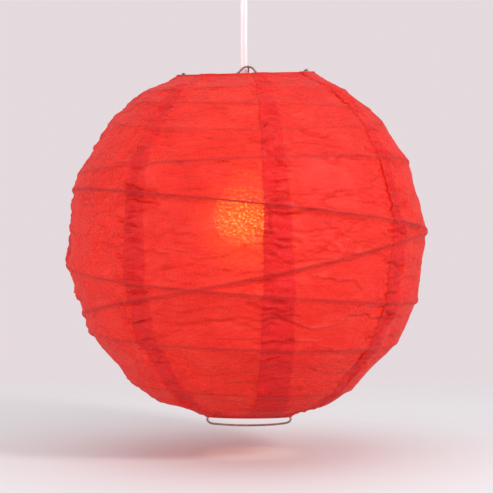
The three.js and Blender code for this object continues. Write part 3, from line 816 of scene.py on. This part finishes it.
def paper_base(azimuth, share):
    """The paper pulled over the ribs.

    Gives the polar angle, the reach, the room to the nearest wire, the gap between wires, how far the
    paper draws in under a rib, and how dark a rib's painted shadow is.
    """
    rims = [rim_edge(TOP_RIM, azimuth, 1), rim_edge(BOTTOM_RIM, azimuth, -1)]
    polars = [np.arctan2(reach, height) for reach, height in rims]
    reaches = [np.hypot(reach, height) for reach, height in rims]
    polar = polars[0] + (polars[1] - polars[0]) * share
    tuck = np.zeros(len(azimuth))
    shadow = np.zeros(len(azimuth))
    for rib, depth, shows in zip(RIBS, TUCK_MM, RIB_PAINTED_SHADOW):
        reach = rib.reach(azimuth)
        height = rib.height(azimuth) - CENTRE.z
        at = np.arctan2(reach, height)
        polars.append(at)
        reaches.append(np.hypot(reach, height) + RIB_WIRE_R + PAPER_ON_RIB)
        below = (polar - at) * PAPER_R
        clear = np.maximum(np.abs(below) - TUCK_START, 0) / TUCK_WIDTH
        tuck = np.maximum(tuck, depth * MM * np.where(below > 0, 1, 0.3) * clear * np.exp(1 - clear))
        # a painted shadow of each rib on the paper, just below its wire
        shadow = np.maximum(shadow, shows * np.exp(-(((below - 0.5 * MM) / RIB_SHADOW) ** 2)))
    order = np.argsort(polars, axis=0)
    polars = np.take_along_axis(np.array(polars), order, 0)
    reaches = np.take_along_axis(np.array(reaches), order, 0)
    pull_over(polars, reaches)
    above = np.clip((polars <= polar).sum(0) - 1, 0, len(polars) - 2)[None, :]
    p1, p2 = [np.take_along_axis(polars, at, 0)[0] for at in (above, above + 1)]
    r1, r2 = [np.take_along_axis(reaches, at, 0)[0] for at in (above, above + 1)]
    span = np.maximum(p2 - p1, 1e-6)
    along = np.clip((polar - p1) / span, 0, 1)
    straight = chord(r1, r2, along * span, (1 - along) * span)
    straight = np.where(span < 0.012, np.maximum(r1, r2), straight)
    gap = span * PAPER_R
    sag = SAG_SHARE * gap * 4 * along * (1 - along)
    to_rib = np.minimum(along, 1 - along) * gap
    return polar, straight - sag, to_rib, gap, tuck, shadow


def rise(value, width):
    """A smooth step from 0 at 0 to 1 at width."""
    t = np.clip(value / width, 0, 1)
    return t * t * (3 - 2 * t)


SEAM_MIDDLE = 12 * MM  # an overlap's middle is this far right of its left edge
NEAR_SEAM = 15 * MM
ROUND_SEAM = 34 * MM


def wrinkles(azimuth, polar, to_rib, gap):
    """How far the paper stands proud of its pulled shape: most by the overlaps, least at the wires."""
    down = polar * PAPER_R
    around = azimuth * PAPER_R
    side = np.sin(polar)
    unit = ring_points((0, 0), side, azimuth, np.cos(polar))
    half = SEAM_STEP_DEG / 2
    seam = (np.degrees(azimuth) - SEAM_DEG + half) % SEAM_STEP_DEG - half
    from_seam = np.radians(seam) * PAPER_R * side - SEAM_MIDDLE
    near = np.exp(-((from_seam / NEAR_SEAM) ** 2))
    wide = np.exp(-((from_seam / ROUND_SEAM) ** 2))
    patchy = np.clip(0.65 + 0.9 * lattice_noise(unit * 6.5, 8), 0.1, 1.5)
    height = (0.35 + 0.65 * wide) * patchy * 2.0 * MM * FACETS(around, down)
    height += (0.3 + 0.7 * wide) * patchy * 1.0 * MM * SMALL_FACETS(around, down)
    height += near * (0.35 + 0.8 * patchy) * 1.8 * MM * SEAM_FACETS(around, down)
    height += 1.0 * MM * lattice_noise(unit * np.array([9, 9, 13]), 2) * np.clip(gap / (40 * MM), 0.2, 1)
    height *= (0.05 + 0.95 * rise(to_rib, 6 * MM)) * (0.35 + 0.65 * side**2)
    return height + fold_lines(azimuth, polar) * rise(to_rib, 3 * MM)


def loose_edge(index, past_left, share, to_rib):
    """How far a gore's cut left edge stands off the gore below it."""
    along = np.repeat(share, COLUMNS) * 26
    ragged = lattice_noise(np.stack([along, 0 * along, 0 * along + index], axis=1), 9)
    stands = EDGE_LOOSE * np.clip(ragged, 0, 1) * rise(to_rib, 5 * MM)
    return stands.reshape(ROWS, COLUMNS) * np.exp(-past_left / (3.5 * MM))


def gore_grid(index):
    """A gore's points, its flat coordinates, and at each point how much its overlap is darkened (partly
    painted shade) and how dark the painted shadows of ribs and its cut edge are.
    """
    share = np.linspace(0, 1, ROWS)[:, None]
    reach = PAPER_R * np.sin(np.interp(share, [0, 1], RIM_POLARS))
    left = seam_left(index, share)
    overlap = seam_angle(index, share, reach)
    right = seam_left(index + 1, share) + seam_angle(index + 1, share, reach)
    in_overlap = np.concatenate([[0, 0.03, 0.06], np.linspace(0.12, 1, OVERLAP_COLUMNS - 3)])
    beyond = np.linspace(0, 1, COLUMNS - OVERLAP_COLUMNS)
    start = left + overlap + EDGE_STEP / reach
    azimuth = np.concatenate([left + overlap * in_overlap, start + (right - start) * beyond], axis=1)
    az = azimuth.ravel()
    down = np.repeat(share, COLUMNS)
    polar, radius, to_rib, gap, tuck, shadow = paper_base(az, down)
    radius = radius + wrinkles(az, polar, to_rib, gap) - tuck * rise(to_rib - 0.9 * MM, 3 * MM)
    past_left = (azimuth - left) * reach
    lift = LAYER_GAP * (1 - rise(past_left - overlap * reach, 8 * MM))
    lift += loose_edge(index, past_left, share, to_rib)
    radius = radius + lift.ravel()
    near_rim = 1 - np.clip(np.minimum(down, 1 - down) / RIM_SHARE, 0, 1)
    rim_middle = np.where(down < 0.5, TOP_RIM.middle[0], BOTTOM_RIM.middle[0])
    side = radius * np.sin(polar)
    middle = (CENTRE.x + (rim_middle - CENTRE.x) * near_rim, CENTRE.y)
    body = ring_points(middle, side, az, CENTRE.z + radius * np.cos(polar))
    uv = np.stack([(az - az.mean()) * side + index * PATTERN_STEP, polar * PAPER_R], axis=1)
    uv = uv.reshape(ROWS, COLUMNS, 2)
    top = hem(TOP_RIM, azimuth[0], lift[0], 1)[:-1]
    top_uv = uv[0] - np.arange(len(top), 0, -1)[:, None, None] * np.array([0, HEM_STEP])
    points = np.concatenate([top, body.reshape(ROWS, COLUMNS, 3)])
    layer_shade = np.zeros((len(points), COLUMNS))
    rows = np.concatenate([np.zeros(len(top)), share[:, 0]])
    # the overlaps' darkening, partly painted shade where less lamplight comes through two layers
    strength = 1.0 if index == 0 else 0.85
    layer_shade[:, :OVERLAP_COLUMNS] = strength * np.interp(rows, *LAYER_SHADE_DOWN)[:, None]
    wire = np.zeros((len(points), COLUMNS))
    # painted rib shadows
    wire[len(top) :] = shadow.reshape(ROWS, COLUMNS)
    # a painted shadow along each gore's cut left edge
    wire[:, :2] = np.maximum(wire[:, :2], EDGE_PAINTED_SHADOW)
    return points, np.concatenate([top_uv, uv]), layer_shade, wire


def hem(hoop, azimuth, lift, side):
    """Rows of paper from inside a rim, over its wire and out to the gore's edge."""
    reach = hoop.reach(azimuth)
    height = hoop.height(azimuth)
    rows = [(reach - HEM_R, height - side * HEM_FLAP)]
    for turn in np.linspace(math.pi, 0.0, HEM_ROWS):
        radius = HEM_R + lift
        rows.append((reach + radius * math.cos(turn), height + side * radius * math.sin(turn)))
    return np.array([ring_points(hoop.middle, r, azimuth, h) for r, h in rows])


def make_sheet(name, points, uv, shows, closed=False):
    """A sheet of paper from a grid of points; shows holds how much an overlap is darkened, partly with
    painted shade, and how dark the painted shadows of wires and cut edges are.
    """
    rows, columns = points.shape[:2]
    faces = grid_faces(rows, columns, closed)
    paper = new_mesh(name, points.reshape(-1, 3), faces, "red_paper", uv.reshape(-1, 2))
    for attribute, values in zip(("layer_shade", "wire"), shows):
        paper.data.attributes.new(attribute, "FLOAT", "POINT").data.foreach_set("value", values.ravel())
    return paper


def declare_sheet(points, closed):
    """Take the steps across a grid of paper; the result is not kept."""
    across = np.roll(points, -1, axis=1) - points
    if not closed:
        across = across[:, :-1]


def make_bottom_hem():
    """The gores' folded lower ends, as one band that moves with the bottom ring, glued inside the gores."""
    columns = 360
    azimuth = turns(columns)
    folded = hem(BOTTOM_RIM, azimuth, np.zeros(columns), -1)
    edge = folded[-1] - np.array(CENTRE)
    glued = []
    for up in (1, 2):
        reach = 1 + (up * BAND_LEAN * MM - BAND_INSIDE) / np.hypot(edge[:, 0], edge[:, 1])
        row = np.stack([edge[:, 0] * reach, edge[:, 1] * reach, edge[:, 2] + up * MM], axis=1)
        glued.append(row + np.array(CENTRE))
    points = np.concatenate([folded, np.array(glued)])
    around, across = np.meshgrid(azimuth * BOTTOM_RIM.reach(azimuth), np.arange(len(points)) * HEM_STEP)
    # the folded hem is darkened like an overlap, partly with painted shade
    shows = np.full((len(points), columns), 0.8)
    uv = np.stack([around, across], axis=2)
    band = make_sheet("bottom_hem", points, uv, (shows, 0 * shows), closed=True)
    fit(band, "bottom_ring", "red_paper")
    declare_sheet(points, True)


def make_gores():
    for index in range(GORES):
        points, uv, *shows = gore_grid(index)
        node = f"gore_{index + 1}"
        paper = make_sheet(f"{node}_paper", points, uv, shows)
        fit(paper, "shade", "red_paper", node)
        fold_with_shade(paper)
        declare_sheet(points, False)


make_bottom_hem()
make_gores()


# ---- expander, bridge and hook: round wires along their CAD routes, in millimetres ----
FRAME_ROUTE = [
    (66, 161), (62.8, 161.4), (61.2, 163.6), (58.4, 167.3), (55.2, 164.6), (54.2, 158.4), (50.5, 144.4),
    (44, 122.4), (39.6, 104.4), (38.7, 86.4), (38.7, 0), (38.7, -137), (39.2, -155), (41.4, -163.5),
    (40.6, -167.9), (43, -171.6), (41.4, -174.6), (31, -176.8), (1, -178.1), (-26, -177), (-35.4, -175.6),
    (-38.2, -172.4), (-36.2, -168.2), (-36.8, -163.5), (-34.8, -155), (-34.3, -137), (-34.3, 0),
    (-34.3, 86.4), (-36.8, 104.4), (-44.5, 122.4), (-53, 142.4), (-57, 154.4), (-58.4, 160.2),
    (-61.4, 163.4), (-63.6, 159.2), (-65, 157.4), (-67.6, 156.9),
]
CURL_R = 2.7
CURL_DEG = [130, 90, 45, 0, -45, -90, -120]
HUMP_TOP = (1.8, 0, 170.2)


def curl(leg_x, height, side):
    """The bridge's end, curled round the expander's leg."""
    angles = [math.radians(degrees) for degrees in CURL_DEG]
    return [(leg_x + side * CURL_R * math.cos(a), CURL_R * math.sin(a), height) for a in angles]


BRIDGE_ROUTE = [
    *reversed(curl(-56.7, 153.4, -1)),
    (-51, 1.2, 154.8), (-44, 0, 157.8), (-30, 0, 160), (-12.4, 0, 162), (-7.4, 0, 164.8), (-3.2, 0, 169),
    HUMP_TOP,
    (6, 0, 168.7), (9.4, 0, 164.7), (14, 0, 162.2), (30, 0, 161), (44, 0, 159), (48, 1, 157.8),
    *curl(53.7, 156.4, 1),
]
HOOK_WIRE_R = 0.8
COLLAR_R = 9
COLLAR_Z = -182.6


def in_shade(points):
    return [tuple(CENTRE + Vector(p) * MM) for p in points]


def make_wires():
    frame_line = smooth_line(in_shade([(x, 0, z) for x, z in FRAME_ROUTE]), 1.2 * MM)
    bridge_line = smooth_line(in_shade(BRIDGE_ROUTE), 0.8 * MM)
    for name, line in (("expander_frame", frame_line), ("hanger_bridge", bridge_line)):
        wire = tube(f"{name}_wire", line, FRAME_WIRE_R, sides=12)
        fit(wire, "shade", "steel_wire", name)
    hump = CENTRE / MM + Vector(HUMP_TOP)
    hook_low = hump.z - FRAME_WIRE_R / MM - HOOK_WIRE_R - 0.4
    route = [
        (-math.sqrt(COLLAR_R**2 - hump.x**2), COLLAR_Z), (-8.9, -177), (-7.2, -170), (-4.4, -163),
        (-3.4, -157), (-3.5, hook_low - 2.4), (hump.y + 1.4, hook_low - 0.4), (hump.y, hook_low - 0.1),
        (hump.y - 1.8, hook_low + 0.5), (hump.y - 2.8, hook_low + 2.4),
    ]
    line = smooth_line([(hump.x * MM, y * MM, z * MM) for y, z in route], 0.6 * MM)
    hook = tube("hanger_hook_wire", line, HOOK_WIRE_R * MM, sides=12)
    fit(hook, "pendant", "steel_wire", "hanger_hook")
    ring = ring_points((0, 0), COLLAR_R * MM, turns(96), COLLAR_Z * MM)
    collar = tube("hanger_collar", ring, HOOK_WIRE_R * MM, closed=True, sides=12)
    fit(collar, "pendant", "steel_wire")


make_wires()


# ---- turned pieces of the rose, lampholder and bulb, with finer edges and threads ----
def threaded(reach, depth, high, low, pitch):
    """Profile points of a rolled thread between two heights, eight to a turn."""
    points = []
    for height in np.linspace(high, low, int(round((high - low) / pitch * 8)) + 1):
        groove = 0.5 - 0.5 * math.cos(2 * math.pi * (high - height) / pitch)
        points.append((reach - depth * groove, height))
    return points


GLOBE_R = 30
GLOBE_Z = -295
GLOBE_ENDS = 42  # the round globe runs up to this many degrees above its middle


def glass_profile(wall):
    points = [(0, GLOBE_Z - GLOBE_R + wall)]
    for degrees in np.linspace(-90, GLOBE_ENDS, 25)[1:]:
        angle = math.radians(degrees)
        points.append(((GLOBE_R - wall) * math.cos(angle), GLOBE_Z + (GLOBE_R - wall) * math.sin(angle)))
    neck = [(19.6, -270), (17.2, -262), (15.1, -255), (13.6, -250), (12.5, -246), (12, -243), (12, -232)]
    return points + [(reach - wall, height) for reach, height in neck]


TURNED = {  # node: (body, slot, profile in millimetres)
    "rose_cover": ("ceiling", "white_plastic", [
        (42, -0.5), (42, -26), (41.3, -30), (38, -38), (33, -43), (26, -48), (18, -51.6), (12, -54),
        (9.6, -54), (9.6, -52), (17, -49.8), (24.8, -46), (31.6, -41.4), (36.4, -36.6), (39.4, -29.4),
        (40, -25.4), (40, -0.5),
    ]),
    "rose_outlet_bush": ("ceiling", "white_plastic", [
        (4.6, -45.5), (4.6, -57), (5.4, -60.4), (7.4, -62), (10, -62), (12.4, -59.5), (12.4, -54.4),
        (9.2, -54.4), (9.2, -45.5),
    ]),
    "lampholder_cap": ("pendant", "white_plastic", [
        (7.5, -178), (7.5, -185), (10, -187), (14, -188.6), (17, -190.5), (19.4, -193), (20.6, -196),
        (20.6, -204), (18.4, -204), (18.4, -196.8), (15.6, -192.6), (5.6, -188.4), (5.6, -178),
    ]),
    "lampholder_barrel": ("pendant", "white_plastic", [
        (20, -204.3), (20, -226), *threaded(18.6, 0.7, -227.5, -250, 2.5), (16.6, -250), (16.6, -204.3),
    ]),
    "screw_shell": ("pendant", "brass", [
        (8, -212.5), *threaded(14.6, 0.0, -212.5, -214, 1.5), *threaded(14.6, 0.3, -215, -240, 3.57),
        (13.9, -240), (13.9, -213.2), (8, -213.2),
    ]),
    "bulb_insulator": ("bulb", "black_insulator", [
        (4.4, -216.4), (7, -216.4), (9.8, -218), (12, -220), (12, -221.5), (4.4, -221.5),
    ]),
    "bulb_base": ("bulb", "bulb_cap", [
        (12.4, -221), *threaded(13.2, 0.75, -222.5, -239, 3.57), (13.2, -242), (12.4, -242),
    ]),
}


FOOT = [(0, -215.4), (2.2, -215.5), (3.4, -215.9), (4, -216.6), (4, -221), (0, -221)]
SHADE_RING = [
    (19.1, -229), (22.4, -229), (23.6, -229.8), (24.2, -231), (24.2, -234), (23.6, -235), (19.1, -235),
]
FLUTES = 16
FLUTE_DEPTH = 0.9 * MM
FLUTED_FROM = 21.5 * MM


def make_turned():
    for node, (body, slot, profile) in TURNED.items():
        fit(lathe(f"{node}_turned", profile, slot, sides=96), body, slot, node)
    walls = glass_profile(0) + glass_profile(1)[::-1]
    glass = lathe("bulb_glass_turned", walls, "bulb_glass", sides=96, closed=False, rounded=False)
    fit(glass, "bulb", "bulb_glass", "bulb_glass")
    foot = lathe("bulb_foot_turned", FOOT, "bulb_cap", closed=False)
    fit(foot, "bulb", "bulb_cap", "bulb_foot_contact")


def make_shade_ring():
    """The ring that clamps a shade, with finger flutes round its rim."""
    ring = lathe("shade_ring_turned", SHADE_RING, "white_plastic", sides=192)
    for vertex in ring.data.vertices:
        x, y, _ = vertex.co
        reach = math.hypot(x, y)
        if reach > FLUTED_FROM:
            flute = max(0.0, math.cos(FLUTES * math.atan2(y, x))) ** 3
            vertex.co.xy *= 1 - FLUTE_DEPTH * flute / reach
    fit(ring, "shade_ring", "white_plastic", "shade_ring")


make_turned()
make_shade_ring()


# ---- stage and lights ----
FLOOR_Z = CENTRE.z - 205 * MM
FLOOR_R = 1.3
FLOOR_FADES = 0.3  # the pale floor starts to melt into the studio's backdrop at this radius
BACKDROP = (1.0, 0.895, 0.925)
BACKDROP_STRENGTH = 0.78
SOFTBOXES = {  # name: (place from the shade's middle, size, watts, colour)
    "top_softbox": ((0, -0.3, 1.6), 1.8, 6, (1, 0.975, 0.98)),
    "key_softbox": ((1.65, -1.35, 1.05), 0.45, 29, (1, 0.97, 0.96)),
    "left_softbox": ((-1.7, -1.3, 0.3), 1.0, 13, (1, 0.97, 0.97)),
}


def floor_material():
    n = Nodes("pale_floor")
    where = n.place()
    pale = n.principled({
        "Base Color": n.ramp(n.noise(where, 3.0, 3), (0.3, (0.71, 0.77, 0.78)), (0.7, (0.72, 0.78, 0.79))),
        "Roughness": 0.6,
        "Normal": n.bump(n.noise(where, 500, 2), 0.1, 0.0002),
        "Specular IOR Level": 0.25,
    })
    inputs = {0: where, 1: (CENTRE.x, CENTRE.y, FLOOR_Z)}
    radius = n.add("VectorMath", inputs, operation="DISTANCE")["Value"]
    share = n.math("DIVIDE", n.math("SUBTRACT", radius, FLOOR_FADES), FLOOR_R - FLOOR_FADES)
    fade = n.ramp(share, (0.0, 0.0), (0.15, 0.25), (0.45, 0.8), (1.0, 1.0))
    return n.finish(n.mix(fade, pale, n.add("BsdfTransparent")[0]))


def make_stage():
    """A round pale floor under the lantern."""
    points = ring_points(CENTRE, FLOOR_R, turns(96), FLOOR_Z)
    MATERIALS["pale_floor"] = floor_material()
    new_mesh("floor", points, [range(len(points))], "pale_floor")


def make_lights():
    world = bpy.data.worlds.new("studio")
    bpy.context.scene.world = world
    world.use_nodes = True
    background = world.node_tree.nodes["Background"]
    background.inputs["Color"].default_value = rgba(BACKDROP)
    background.inputs["Strength"].default_value = BACKDROP_STRENGTH
    for name, (offset, size, watts, colour) in SOFTBOXES.items():
        data = bpy.data.lights.new(name, "AREA")
        data.size = size
        data.energy = watts
        data.color = colour
        light = bpy.data.objects.new(name, data)
        bpy.context.collection.objects.link(light)
        light.location = CENTRE + Vector(offset)
        light.rotation_euler = (-Vector(offset)).to_track_quat("-Z", "Y").to_euler()
        light.visible_camera = False


make_stage()
make_lights()
bpy.context.scene.view_settings.view_transform = "Standard"
